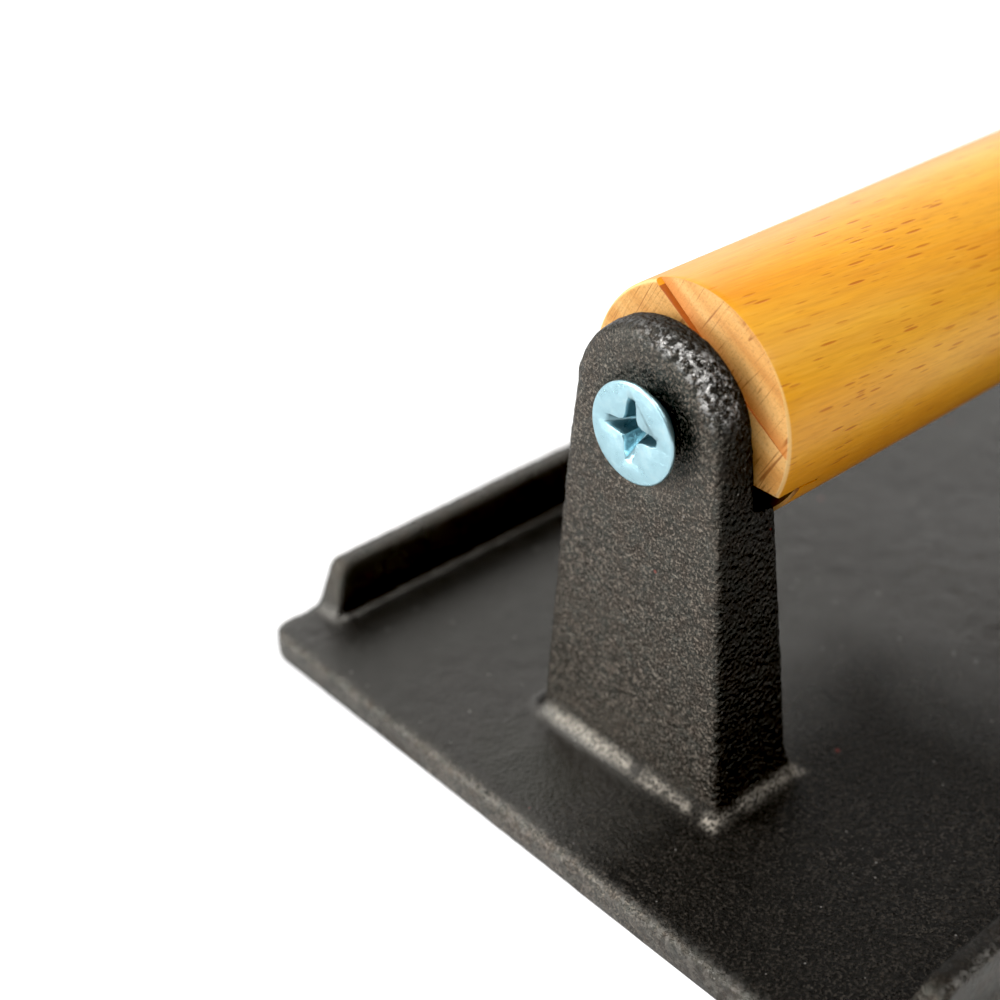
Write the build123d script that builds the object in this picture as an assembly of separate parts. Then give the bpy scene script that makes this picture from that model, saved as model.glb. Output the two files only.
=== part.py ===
from build123d import *
import math
import os

# Hand-held cast-iron patty press: a flat rectangular pressing plate with a low
# rail along each long side and an upright post near each end, all one casting,
# and a round beech handle held between the posts by one countersunk cross-head
# wood screw at each end.
#
# Frame: origin at the centre of the underside (the pressing face), +X along the
# handle, +Y across the plate, +Z up.  Millimetres.
#
# Posts, screws and handle-end cuts are built at the -X end and mirrored or turned
# to +X.  A "setback" is a distance along X, inwards from the plate's end.  "Outer"
# on a post is the side facing that end, "inner" the side facing the handle.

# ------------------------------------------------------------ dimensions
# pressing plate
plate_length = 210.0
plate_width = 108.0
plate_thickness = 4.5
plate_corner_radius = 3.5
plate_top_round = 0.5
plate_bottom_round = 1.0

# rails along the long sides, drafted on every side
rail_height = 7.6
rail_base_inner_y = 48.0
rail_base_outer_y = 53.3
rail_top_inner_y = 49.8
rail_top_outer_y = 52.8
rail_base_setback = 8.0
rail_top_setback = 10.9
rail_end_round = 1.8          # where the top runs down into the end face
rail_edge_round = 0.55        # along the top's edges and down the corners
rail_foot_fillet = 1.6

# posts (heights are above the plate)
post_outer_foot_setback = 16.9
post_outer_axis_setback = 17.95      # outer face at the screw's height
post_inner_foot_setback = 30.6
post_inner_shoulder_setback = 27.55  # inner face just under the shoulder
post_foot_half_width = 15.35
post_top_radius = 11.4        # half-round top
post_top_offset_y = 0.5       # the casting's top sits a little off the screw
post_top_offset_z = 0.6
post_shoulder_height = 40.4
handle_axis_height = 49.2
post_seat_top = 45.5          # flat seat for the handle's end, up to here
post_seat_draft = 0.105       # lean of the inner face above the seat, X per Z
post_outer_edge_round = 0.9
post_inner_edge_round = 0.9   # thick lower part
post_crown_round = 1.4        # inner edge of the half-round top
post_foot_fillet = 2.6

# countersink dish and screw hole in each post
dish_diameter = 16.5
dish_depth = 1.07
screw_hole_diameter = 6.6

# handle
handle_diameter = 30.2
handle_end_setback = 24.4
handle_edge_chamfer = 0.35
notch_drop = 5.85             # notch ceiling below the handle's axis
notch_depth = 4.3             # clears the thicker part of the post
kerf_thickness = 0.35         # saw run-out at the notch's inner corner
kerf_run = 3.2
kerf_tilt_deg = 7.0           # the saw ran downwards
step_distance = 8.15          # saw mismatch on the -X end face, from the axis
step_tilt_deg = 34.6
step_deep = 1.15              # depth at the wedge's +Y end
step_shallow = 0.1            # depth at its -Y end
step_deep_reach = 16.0        # from the middle of the step to each end
step_shallow_reach = 15.0

# screws: number 14 countersunk cross-head wood screws (lengths from the head face)
head_setback = 15.5
head_diameter = 12.5
head_rim = 0.55               # cylindrical rim above the 90 degree cone
head_edge_round = 0.15        # cut as a flat bevel
shank_diameter = 6.1
thread_root_diameter = 4.3
thread_pitch = 2.54
thread_start = 13.5
first_ridge_offset = 1.0      # first thread ridge, past the thread's start
ridge_crest_half = 0.1        # half the ridge's width at its crest
ridge_foot_half = 0.62        # and at its foot
thread_count = 8
screw_length = 38.0
point_length = 4.6
recess_depth = 3.2
recess_span = 8.0             # cross wings, at the mouth
recess_slot = 1.45
recess_floor_span = 2.6
recess_floor_slot = recess_slot * 0.8
recess_centre_mouth = 2.9     # square centre, side at the mouth and the floor
recess_centre_floor = 1.6
front_recess_angle = 0.0
rear_recess_angle = 28.0
bore_radial_clearance = 0.05
bore_axial_clearance = 0.06

# overlaps that make unions and cuts clean
sink = 1.0                    # rails and posts reach this far into the plate
dish_overrun = 0.6
bore_overrun = 1.0
kerf_overrun = 1.0
notch_overrun = 5.0
step_overrun = 0.6
recess_overrun = 0.01

# ------------------------------------------------------------ derived values
end_x = plate_length / 2
top_z = plate_thickness
axis_z = top_z + handle_axis_height
handle_half = end_x - handle_end_setback
shoulder_z = top_z + post_shoulder_height
crown_y = post_top_offset_y                 # centre of the post's half-round top
crown_z = axis_z + post_top_offset_z
screw_hole_radius = screw_hole_diameter / 2
shank_radius = shank_diameter / 2
head_x = -end_x + head_setback


# ------------------------------------------------------------ helpers
def edges_where(shape, test):
    """Edges whose bounding box passes the test."""
    return [e for e in shape.edges() if test(e.bounding_box())]


def turned(points, x0):
    """Solid turned about the handle's axis from (distance from x0, radius) points."""
    face = make_face(Polyline(*[(x0 + s, 0, axis_z + r) for s, r in points], close=True))
    return revolve(face, Axis((0, 0, axis_z), (1, 0, 0)))


# ------------------------------------------------------------ casting
def build_plate():
    plate = extrude(
        RectangleRounded(plate_length, plate_width, plate_corner_radius), plate_thickness
    )
    plate = fillet(plate.edges().group_by(Axis.Z)[-1], plate_top_round)
    return fillet(plate.edges().group_by(Axis.Z)[0], plate_bottom_round)


def build_rail(side):
    """Rail on the +Y (side 1) or -Y (side -1) edge."""

    def section(height):
        share = height / rail_height
        inner = rail_base_inner_y + (rail_top_inner_y - rail_base_inner_y) * share
        outer = rail_base_outer_y + (rail_top_outer_y - rail_base_outer_y) * share
        setback = rail_base_setback + (rail_top_setback - rail_base_setback) * share
        half = end_x - setback
        corners = [(-half, inner), (half, inner), (half, outer), (-half, outer)]
        points = [(x, side * y, top_z + height) for x, y in corners]
        return make_face(Polyline(*points, close=True))

    body = loft([section(-sink), section(rail_height)], ruled=True)
    # round the top into the ends, then soften each side's outline in one run
    body = fillet(body.edges().group_by(Axis.Z)[-1].filter_by(Axis.Y), rail_end_round)
    outline = edges_where(
        body,
        lambda b: b.size.Z > 0.05 or (b.size.X > 20 and b.min.Z > top_z + 1),
    )
    return fillet(outline, rail_edge_round)


def post_flank(side):
    """Foot and top points of the post's tapered side, tangent to the half-round top."""
    foot_y = side * post_foot_half_width
    dy = foot_y - crown_y
    dz = top_z - crown_z
    swing = math.acos(post_top_radius / math.hypot(dy, dz))
    angle = math.atan2(dz, dy) + side * swing
    tangent_y = crown_y + post_top_radius * math.cos(angle)
    tangent_z = crown_z + post_top_radius * math.sin(angle)
    slope = (foot_y - tangent_y) / (tangent_z - top_z)
    return (0, foot_y + slope * sink, top_z - sink), (0, tangent_y, tangent_z)


def post_blank():
    """Face-on outline crossed with the side outline."""
    right_foot, right_top = post_flank(1)
    left_foot, left_top = post_flank(-1)
    right = Line(right_foot, right_top)
    arch = ThreePointArc(right_top, (0, crown_y, crown_z + post_top_radius), left_top)
    left = Line(left_top, left_foot)
    base = Line(left_foot, right_foot)
    face_on = extrude(make_face([right, arch, left, base]), 60, dir=(1, 0, 0))
    face_on = face_on.translate((-end_x, 0, 0))

    # leaning outer face, thick lower part, shoulder, thin upper part
    outer_lean = (post_outer_axis_setback - post_outer_foot_setback) / handle_axis_height
    inner_lean = (
        post_inner_foot_setback - post_inner_shoulder_setback
    ) / post_shoulder_height
    peak = crown_z + post_top_radius + 2
    seat = top_z + post_seat_top
    side_outline = [  # (setback, z)
        (post_outer_foot_setback - outer_lean * sink, top_z - sink),
        (post_outer_foot_setback + outer_lean * (peak - top_z), peak),
        (handle_end_setback - post_seat_draft * (peak - seat), peak),
        (handle_end_setback, seat),
        (handle_end_setback, shoulder_z),
        (post_inner_shoulder_setback, shoulder_z),
        (post_inner_foot_setback + inner_lean * sink, top_z - sink),
    ]
    side_points = [(-end_x + setback, 0, z) for setback, z in side_outline]
    side_on = extrude(make_face(Polyline(*side_points, close=True)), 40, both=True)
    return face_on & side_on


def build_post():
    """The post at the -X end."""
    outer_x = -end_x + post_outer_axis_setback
    body = post_blank()
    outer_edges = edges_where(body, lambda b: b.max.X < outer_x + 1.0 and b.size.Z > 5)
    body = fillet(outer_edges, post_outer_edge_round)
    # inner edge of the thin upper part
    crown_edges = edges_where(
        body,
        lambda b: b.max.X < -handle_half + 0.1
        and b.min.X > outer_x + 3.5
        and b.min.Z > shoulder_z - 0.1
        and b.size.Z > 0.05,
    )
    body = fillet(crown_edges, post_crown_round)
    # inner edges of the thick lower part and its shoulder
    lower_edges = edges_where(
        body,
        lambda b: b.min.X > -end_x + post_inner_shoulder_setback - 0.2
        and b.max.Z > top_z + 20,
    )
    body = fillet(lower_edges, post_inner_edge_round)

    hole = Cylinder(screw_hole_radius, 40, rotation=(0, 90, 0))
    hole = hole.translate((-end_x + 20, 0, axis_z))
    # cone from the dish's rim on the outer face down to the hole
    dish_radius = dish_diameter / 2
    flare = (dish_radius - screw_hole_radius) / dish_depth
    dish = turned(
        [
            (-dish_overrun, 0),
            (-dish_overrun, dish_radius + dish_overrun * flare),
            (dish_depth, screw_hole_radius),
            (dish_depth, 0),
        ],
        outer_x,
    )
    return body - hole - dish


def on_plate_top(box):
    return abs(box.min.Z - top_z) <= 1e-3 and abs(box.max.Z - top_z) <= 1e-3


def is_post_foot(box):
    reach = max(abs(box.min.Y), abs(box.max.Y))
    return on_plate_top(box) and reach < 25 and abs(box.center().X) > 60


def is_rail_foot(box):
    """True on the inner sides and ends of the rails; the outer sides stay sharp."""
    near, far = sorted((abs(box.min.Y), abs(box.max.Y)))
    return on_plate_top(box) and far < rail_base_outer_y - 0.3 and near > rail_base_inner_y - 1


def build_casting():
    post = build_post()
    body = build_plate() + build_rail(1) + build_rail(-1) + post + mirror(post, Plane.YZ)
    body = body.clean()
    body = fillet(edges_where(body, is_post_foot), post_foot_fillet)
    rail_feet = edges_where(body, is_rail_foot)
    try:
        return fillet(rail_feet, rail_foot_fillet)
    except Exception:
        # guards against the rail ends failing: the long inner edges alone are filleted
        return fillet([e for e in rail_feet if e.length > 50], rail_foot_fillet)


# ------------------------------------------------------------ screws
def thread_profile(radial=0.0, axial=0.0):
    """(distance from the head face, radius) from the shank's end to the point.

    The thread is a row of separate ridges; the arguments are added clearances.
    """
    shank = shank_radius + radial
    root = thread_root_diameter / 2 + radial
    points = [(thread_start - 1.0, shank), (thread_start - 0.2, root)]
    for i in range(thread_count):
        middle = thread_start + first_ridge_offset + i * thread_pitch
        points += [
            (middle - ridge_foot_half - axial, root),
            (middle - ridge_crest_half - axial, shank),
            (middle + ridge_crest_half + axial, shank),
            (middle + ridge_foot_half + axial, root),
        ]
    points += [
        (screw_length - point_length + axial, root),
        (screw_length + axial + radial, 0.0),
    ]
    return points


def recess_cut(angle, mouth_size, floor_size):
    """Tapered cut into the head between two (length, width) rectangles."""
    sections = []
    for depth, size in ((-recess_overrun, mouth_size), (recess_depth, floor_size)):
        level = Plane((head_x + depth, 0, axis_z), x_dir=(0, 1, 0), z_dir=(1, 0, 0))
        sections.append(level * Rot(0, 0, angle) * Rectangle(*size))
    return loft(sections, ruled=True)


def build_screw(recess_angle):
    """Screw with its head at the -X end."""
    head_radius = head_diameter / 2
    profile = [
        (0, 0),
        (0, head_radius - head_edge_round),
        (head_edge_round, head_radius),
        (head_rim, head_radius),
        (head_rim + head_radius - shank_radius, shank_radius),
    ] + thread_profile()
    body = turned(profile, head_x)
    for angle in (recess_angle, recess_angle + 90):
        body = body - recess_cut(
            angle, (recess_span, recess_slot), (recess_floor_span, recess_floor_slot)
        )
    return body - recess_cut(
        recess_angle + 45,
        (recess_centre_mouth, recess_centre_mouth),
        (recess_centre_floor, recess_centre_floor),
    )


# ------------------------------------------------------------ handle
def handle_end_cuts():
    """Screw bore, notch and saw run-out at the -X end."""
    mouth = handle_end_setback - head_setback - bore_overrun
    bore = turned(
        [(mouth, 0), (mouth, shank_radius + bore_radial_clearance)]
        + thread_profile(radial=bore_radial_clearance, axial=bore_axial_clearance),
        head_x,
    )
    inner_corner = (-handle_half + notch_depth, 0, axis_z - notch_drop)
    notch = Box(
        notch_depth + notch_overrun, 60, 30, align=(Align.MAX, Align.CENTER, Align.MAX)
    ).translate(inner_corner)
    kerf = Box(
        kerf_run + kerf_overrun,
        60,
        kerf_thickness,
        align=(Align.MIN, Align.CENTER, Align.MAX),
    )
    kerf = kerf.translate((-kerf_overrun, 0, 0)).rotate(Axis.Y, kerf_tilt_deg)
    return [bore, notch, kerf.translate(inner_corner)]


def saw_step():
    """Shallow wedge on the upper part of the -X end face, where two saw cuts differ."""
    tilt = math.radians(step_tilt_deg)
    along = Vector(0, -math.cos(tilt), -math.sin(tilt))
    outward = Vector(0, -math.sin(tilt), math.cos(tilt))
    start = Vector(-handle_half, 0, axis_z) + outward * step_distance
    corners = [  # (distance along the step, depth into the handle)
        (-step_deep_reach, -step_overrun),
        (step_shallow_reach, -step_overrun),
        (step_shallow_reach, step_shallow),
        (-step_deep_reach, step_deep),
    ]
    points = [start + along * t + Vector(1, 0, 0) * depth for t, depth in corners]
    face = make_face(Polyline(*points, close=True))
    return extrude(face, 12, dir=(outward.X, outward.Y, outward.Z))


def build_handle():
    grip = Cylinder(handle_diameter / 2, 2 * handle_half, rotation=(0, 90, 0))
    grip = grip.translate((0, 0, axis_z))
    grip = chamfer(grip.edges().filter_by(GeomType.CIRCLE), handle_edge_chamfer)
    for cut in handle_end_cuts():
        grip = grip - cut - cut.rotate(Axis.Z, 180)
    return grip - saw_step()


# ------------------------------------------------------------ one file per piece
pieces = {
    "base_casting": build_casting(),
    "handle_grip": build_handle(),
    "front_handle_screw": build_screw(front_recess_angle),                       # -X end
    "rear_handle_screw": build_screw(rear_recess_angle).rotate(Axis.Z, 180),     # +X end
}
os.makedirs("parts", exist_ok=True)
for name, shape in pieces.items():
    solids = shape.solids()
    piece = solids[0] if len(solids) == 1 else Compound(children=solids)
    piece.label = name
    export_step(piece, f"parts/{name}.step")
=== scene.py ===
# A cast-iron press: a flat plate with rails along its long sides and a post near each
# end, and a round beech handle held between the posts by one wood screw through each.
# Its length lies along X and its width along Y, centred on the origin; the plate's
# underside is at z = 0.  The front screw's head faces -X.
import math
from functools import reduce
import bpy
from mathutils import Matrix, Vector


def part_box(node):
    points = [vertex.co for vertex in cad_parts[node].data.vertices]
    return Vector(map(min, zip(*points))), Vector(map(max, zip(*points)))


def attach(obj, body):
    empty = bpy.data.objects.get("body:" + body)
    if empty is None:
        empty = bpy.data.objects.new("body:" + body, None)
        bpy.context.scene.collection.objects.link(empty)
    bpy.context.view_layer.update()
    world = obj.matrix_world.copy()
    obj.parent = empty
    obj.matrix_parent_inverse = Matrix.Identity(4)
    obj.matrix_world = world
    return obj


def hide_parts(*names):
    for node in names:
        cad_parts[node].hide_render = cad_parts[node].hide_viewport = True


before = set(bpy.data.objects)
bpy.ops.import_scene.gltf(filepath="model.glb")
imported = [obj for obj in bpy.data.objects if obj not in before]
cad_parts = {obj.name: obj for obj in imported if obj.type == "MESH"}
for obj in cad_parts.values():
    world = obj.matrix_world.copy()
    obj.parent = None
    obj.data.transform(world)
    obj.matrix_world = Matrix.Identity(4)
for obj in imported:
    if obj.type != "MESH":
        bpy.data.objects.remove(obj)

from types import SimpleNamespace

import bmesh
import bpy
import numpy as np
from mathutils import Matrix, Vector

scene = bpy.context.scene
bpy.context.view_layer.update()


# ---------------------------------------------------------------- dimensions, mm
def box_mm(node):
    low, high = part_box(node)
    return np.array(low) * 1000.0, np.array(high) * 1000.0


_, cast_high = box_mm("base_casting")
grip_low, grip_high = box_mm("handle_grip")
screw_low, screw_high = box_mm("front_handle_screw")

END_X = float(cast_high[0])                  # half length of the plate
HALF_W = float(cast_high[1])                 # half width of the plate
PLATE_T = 4.5

GRIP_R = float((grip_high[1] - grip_low[1]) / 2)
GRIP_HALF = float(grip_high[0])              # half length of the handle
AXIS_Z = float((grip_low[2] + grip_high[2]) / 2)     # handle and screw axis

# Posts.  A "setback" is a distance inwards from the plate's nearer end.
TOP_DY, TOP_DZ = 0.5, 0.6                    # centre of the half-round top, off the axis
TOP_Z = AXIS_Z + TOP_DZ
POST_R = float(cast_high[2]) - TOP_Z         # radius of the half-round top
POST_FRONT = 16.9, 17.95                     # outward face's setback, at foot and axis
POST_BACK = 32.0                             # inward face's setback at the foot
POST_FOOT_HALF = 15.35                       # half width at the foot

# Cuts in the handle
ARRIS = 0.62                                 # rounding of the end edges
NOTCH_DROP, NOTCH_DEPTH = 5.85, 4.3          # notch's ceiling below the axis; its length
NOTCH_LIP_R = 0.75                           # rounding where the ceiling meets the end
KERF_T, KERF_RUN, KERF_TILT = 0.35, 3.2, math.radians(7)
STEP_DIST, STEP_TILT, STEP_DEEP = 8.15, math.radians(34.6), 1.15
BORE_R, BORE_DEPTH, BORE_TIP_R = 3.13, 29.4, 0.6
CUT_HALF = 30                                # half width of the cutters, past the handle

# Screws
HEAD_OUT = -float(screw_low[0])              # heads' faces, out from the middle
SCREW_LENGTH = float(screw_high[0] - screw_low[0])
HEAD_R = float((screw_high[1] - screw_low[1]) / 2)
HEAD_RIM = 0.55                              # thickness of the head's rim
SHANK_R, CORE_R = 3.03, 2.13                 # plain shank, and core under the thread
THREAD_PITCH, THREAD_TALL = 2.54, 0.9
THREAD_START, THREAD_END = 13.3, SCREW_LENGTH - 0.6


# ---------------------------------------------------------------- noise
def cell_hash(x, y, z, seed):
    """Random value 0..1 for each whole-numbered cell."""
    mixed = (
        x.astype(np.uint32) * np.uint32(0x8DA6B343)
        ^ y.astype(np.uint32) * np.uint32(0xD8163841)
        ^ z.astype(np.uint32) * np.uint32(0xCB1AB31F)
        ^ np.uint32((seed * 0x9E3779B9) & 0xFFFFFFFF)
    )
    mixed ^= mixed >> np.uint32(13)
    mixed *= np.uint32(0x5BD1E995)
    mixed ^= mixed >> np.uint32(15)
    mixed *= np.uint32(0x27D4EB2D)
    mixed ^= mixed >> np.uint32(14)
    return mixed.astype(np.float64) / 4294967295.0


def split_cells(points, size):
    """Whole cell and place inside it; the offset keeps the cells positive."""
    scaled = points / size + 1000.0
    cell = np.floor(scaled).astype(np.int64)
    return cell, scaled - cell


def value_noise(points, wave, seed):
    """Smooth noise in -1..1 at points, with its wavelength in mm."""
    cell, part = split_cells(points, wave)
    part = part * part * part * (part * (part * 6 - 15) + 10)
    total = np.zeros(len(points))
    for corner in np.ndindex(2, 2, 2):
        near = [part[:, k] if corner[k] else 1 - part[:, k] for k in range(3)]
        total += near[0] * near[1] * near[2] * cell_hash(*(cell + corner).T, seed)
    return total * 2 - 1


def pebble_noise(points, size, seed):
    """Rounded grains: 1 at a grain's middle, falling to 0 between grains."""
    cell, part = split_cells(points, size)
    nearest = np.full(len(points), 9.0)
    for index in np.ndindex(3, 3, 3):
        step = np.array(index) - 1
        other = (cell + step).T
        gap = [step[k] + cell_hash(*other, seed + k) - part[:, k] for k in range(3)]
        nearest = np.minimum(nearest, gap[0] * gap[0] + gap[1] * gap[1] + gap[2] * gap[2])
    return np.clip(1 - nearest, 0, 1)


def ease(start, end, value):
    """Smooth step: 0 at start, 1 at end (start may be the larger)."""
    part = np.clip((value - start) / (end - start), 0, 1)
    return part * part * (3 - 2 * part)


def bell(value, width):
    return np.exp(-((value / width) ** 2))


# ---------------------------------------------------------------- mesh helpers
def link(obj):
    scene.collection.objects.link(obj)
    return obj


def solid(name, points, faces):
    """Closed mesh object from points in mm, its normals turned outwards."""
    mesh = bpy.data.meshes.new(name)
    mesh.from_pydata([tuple(p / 1000.0) for p in np.asarray(points, float)], [], faces)
    mesh.validate()
    mesh.update()
    edit = bmesh.new()
    edit.from_mesh(mesh)
    bmesh.ops.recalc_face_normals(edit, faces=edit.faces)
    edit.to_mesh(mesh)
    edit.free()
    return link(bpy.data.objects.new(name, mesh))


def side_faces(rings, size):
    """Quads joining successive rings of points."""
    faces = []
    for i in range(rings - 1):
        this, other = i * size, (i + 1) * size
        for j in range(size):
            k = (j + 1) % size
            faces.append((this + j, other + j, other + k, this + k))
    return faces


def prism(name, points):
    """Solid between two equal outlines, listed one after the other."""
    size = len(points) // 2
    caps = [tuple(range(size)), tuple(range(size, 2 * size))[::-1]]
    return solid(name, points, caps + side_faces(2, size))


def lathe(name, stations, radius, segments):
    """Closed turned solid about the handle's axis; radius(station index, angles)."""
    angles = np.linspace(0, 2 * math.pi, segments, endpoint=False)
    points = []
    for i, x in enumerate(stations):
        r = radius(i, angles)
        ring = [np.full(segments, x), r * np.cos(angles), AXIS_Z + r * np.sin(angles)]
        points.append(np.stack(ring, 1))
    count = len(stations)
    faces = side_faces(count, segments)
    faces.append(tuple(range(segments)))
    faces.append(tuple(range((count - 1) * segments, count * segments))[::-1])
    return solid(name, np.concatenate(points), faces)


def read_vertices(mesh, key):
    flat = np.empty(len(mesh.vertices) * 3, np.float32)
    mesh.vertices.foreach_get(key, flat)
    return flat.reshape(-1, 3).astype(np.float64)


def write_points(mesh, points):
    mesh.vertices.foreach_set("co", (points / 1000.0).astype(np.float32).ravel())
    mesh.update()


def modify(obj, kind, **settings):
    """Adds one modifier and applies it."""
    modifier = obj.modifiers.new("shape", kind)
    for key, value in settings.items():
        setattr(modifier, key, value)
    depsgraph = bpy.context.evaluated_depsgraph_get()
    depsgraph.update()
    mesh = bpy.data.meshes.new_from_object(obj.evaluated_get(depsgraph))
    obj.modifiers.clear()
    old = obj.data
    obj.data = mesh
    mesh.name = obj.name
    bpy.data.meshes.remove(old)


def cut(obj, cutters):
    for cutter in cutters:
        modify(obj, "BOOLEAN", operation="DIFFERENCE", solver="EXACT", object=cutter)
        mesh = cutter.data
        bpy.data.objects.remove(cutter)
        bpy.data.meshes.remove(mesh)


def bevel(obj, width, degrees):
    modify(obj, "BEVEL", width=width / 1000.0, segments=2, limit_method="ANGLE",
           angle_limit=math.radians(degrees))


def shade_smooth(obj):
    obj.data.polygons.foreach_set("use_smooth", [True] * len(obj.data.polygons))
    obj.data.update()


def relax(mesh, points, weight, rounds):
    """Moves points towards their neighbours' mean, as far as weight (0..1) says."""
    ends = np.empty(len(mesh.edges) * 2, np.int64)
    mesh.edges.foreach_get("vertices", ends)
    ends = ends.reshape(-1, 2)
    size = len(points)
    count = np.bincount(ends.ravel(), minlength=size).astype(float)
    for _ in range(rounds):
        mean = np.empty_like(points)
        for k in range(3):
            total = (np.bincount(ends[:, 0], points[ends[:, 1], k], size)
                     + np.bincount(ends[:, 1], points[ends[:, 0], k], size))
            mean[:, k] = total / np.maximum(count, 1)
        points = points + (mean - points) * weight[:, None]
    return points


# ---------------------------------------------------------------- iron casting
CASTING_TRIANGLES = 196000


def outline_depth(points):
    """Depth inside a post's face-on outline (tapered sides, half-round top)."""
    y, z = points[:, 1], points[:, 2]
    arch = POST_R - np.hypot(y - TOP_DY, z - TOP_Z)
    flank = np.full(len(points), 99.0)
    for side in (1, -1):
        # the flank runs from the foot's corner to touch the round top
        foot_y, foot_z = side * POST_FOOT_HALF - TOP_DY, PLATE_T - TOP_Z
        swing = math.acos(POST_R / math.hypot(foot_y, foot_z))
        angle = math.atan2(foot_z, foot_y) + side * swing
        reach = (y - TOP_DY) * math.cos(angle) + (z - TOP_Z) * math.sin(angle)
        flank = np.minimum(flank, POST_R - reach)
    return np.where(z > TOP_Z + 0.8, arch, flank)


def round_post_edges(points):
    """Grows the posts' outward edge fillet towards the half-round top, most at -Y."""
    setback = END_X - np.abs(points[:, 0])
    foot, axis = POST_FRONT
    face = foot + (axis - foot) * (points[:, 2] - PLATE_T) / (AXIS_Z - PLATE_T)
    face_depth = setback - face
    side_depth = outline_depth(points)
    worn = ease(2.0, -8.0, points[:, 1])
    radius = 0.95 + (0.55 + 0.95 * worn) * ease(AXIS_Z - 9, AXIS_Z + 3, points[:, 2])
    # place relative to the fillet's centre
    out_x, out_r = radius - face_depth, radius - side_depth
    reach = np.hypot(out_x, out_r)
    near = (
        (out_x > 0) & (out_r > 0) & (reach > radius) & (face_depth > -0.6) & (face_depth < 4)
        & (np.abs(points[:, 1]) < 17) & (points[:, 2] > PLATE_T + 10)
    )
    pull = np.where(near, radius / np.maximum(reach, 1e-6), 1.0)
    move_x = np.where(near, (radius - out_x * pull) - face_depth, 0.0)
    move_r = np.where(near, (radius - out_r * pull) - side_depth, 0.0)
    y, z = points[:, 1] - TOP_DY, points[:, 2] - TOP_Z
    r = np.maximum(np.hypot(y, z), 1e-6)
    arch = points[:, 2] > TOP_Z + 0.8
    moved = points.copy()
    moved[:, 0] -= np.sign(points[:, 0]) * move_x
    moved[:, 1] -= np.where(arch, y / r, np.sign(y)) * move_r
    moved[:, 2] -= np.where(arch, z / r, 0.0) * move_r
    return moved


def locate(points):
    setback = END_X - np.abs(points[:, 0])
    return SimpleNamespace(
        setback=setback,
        height=points[:, 2] - PLATE_T,       # above the plate's top
        depth=outline_depth(points),
        post=(np.abs(points[:, 1]) < 19) & (setback > 12) & (setback < 36),
    )


def flare_feet(points, place):
    """Spreads the posts' inner corners a little just above the plate."""
    flare = place.post * ease(27.0, 30.0, place.setback) * ease(34.5, 33.0, place.setback)
    flare = flare * ease(7.0, 1.2, place.height) ** 2 * ease(0.2, 1.0, place.height)
    points[:, 0] -= np.sign(points[:, 0]) * 0.9 * flare


def cast_skin(points, normals, place):
    """Height of the as-cast skin: slow waves, lumps, then grains of the sand mould."""
    slow = (value_noise(points, wave=19.0, seed=3) * 0.10
            + value_noise(points, wave=8.5, seed=4) * 0.045)
    lumps = (value_noise(points, wave=3.6, seed=5) * 0.025
             + value_noise(points, wave=2.1, seed=15) * 0.020)
    grain = ((pebble_noise(points, size=1.25, seed=6) - 0.55) * 0.09
             + value_noise(points, wave=0.95, seed=9) * 0.030)
    # coarser on the posts' sides and crowns and on the rails' outsides
    sideways = np.abs(normals[:, 1])
    coarse = np.where(place.post & (place.height > 1.5), 1.0 + 0.55 * sideways, 0.85)
    coarse = np.where(place.post & (points[:, 2] > AXIS_Z + 4), 1.5, coarse)
    coarse = np.where(np.abs(points[:, 1]) > 46, 1.1, coarse)
    return slow + (lumps + grain) * coarse


def crown_mask(points, place):
    """Pitted shoulder on the -Y side of each post's rounded top, by its outward edge."""
    lean = np.degrees(np.arctan2(-(points[:, 1] - TOP_DY), points[:, 2] - TOP_Z))
    band_end = 19.6 + 1.9 * ease(8.0, 45.0, lean)
    crown = place.post * ease(-20.0, 16.0, lean) * ease(80.0, 58.0, lean)
    return (crown * ease(2.3, 1.2, place.depth)
            * ease(band_end + 0.5, band_end - 0.5, place.setback))


def foot_mask(points, place):
    """Broken line of beads around each post's foot, fading out towards +Y."""
    across = np.maximum(POST_FRONT[0] - place.setback - 0.38, place.setback - POST_BACK)
    ring = np.abs(np.maximum(-place.depth, across))
    width = np.where(-place.depth > across, 0.54, 0.70)
    width = width * (1 + 0.40 * value_noise(points, wave=4.2, seed=51))
    foot = bell(ring, width) * bell(place.height - 0.7, 1.1)
    foot = foot * place.post * ease(-0.75, 0.05, value_noise(points, wave=2.6, seed=52))
    return foot * (1 - 0.85 * ease(10.5, 15.5, points[:, 1]))


def hold_envelope(shift, points, place, rim):
    """Limits the skin at the rim, on the underside and where handle and screws bear."""
    limit = np.minimum(0.40, 0.02 + 0.4 * ease(0.6, 4.0, rim))
    limit = np.where(points[:, 2] > TOP_Z + POST_R - 0.9, 0.0, limit)
    from_axis = np.hypot(points[:, 1], points[:, 2] - AXIS_Z)
    near_screw = place.post & (from_axis < 6.5)
    limit = np.where(near_screw, 0.0, limit)
    handle_seat = place.post & (place.setback > 23.6) & (place.height > 27)
    limit = np.where(handle_seat, -0.03, limit)
    under = points[:, 2] < 1.2
    limit = np.where(under & (rim > 1.5), -0.01, limit)
    shift = np.where(under, shift * 0.35 - 0.06, shift)
    shift = np.where(near_screw, np.minimum(shift, 0.0) * 0.8, shift)
    return np.minimum(shift, limit)


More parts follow.
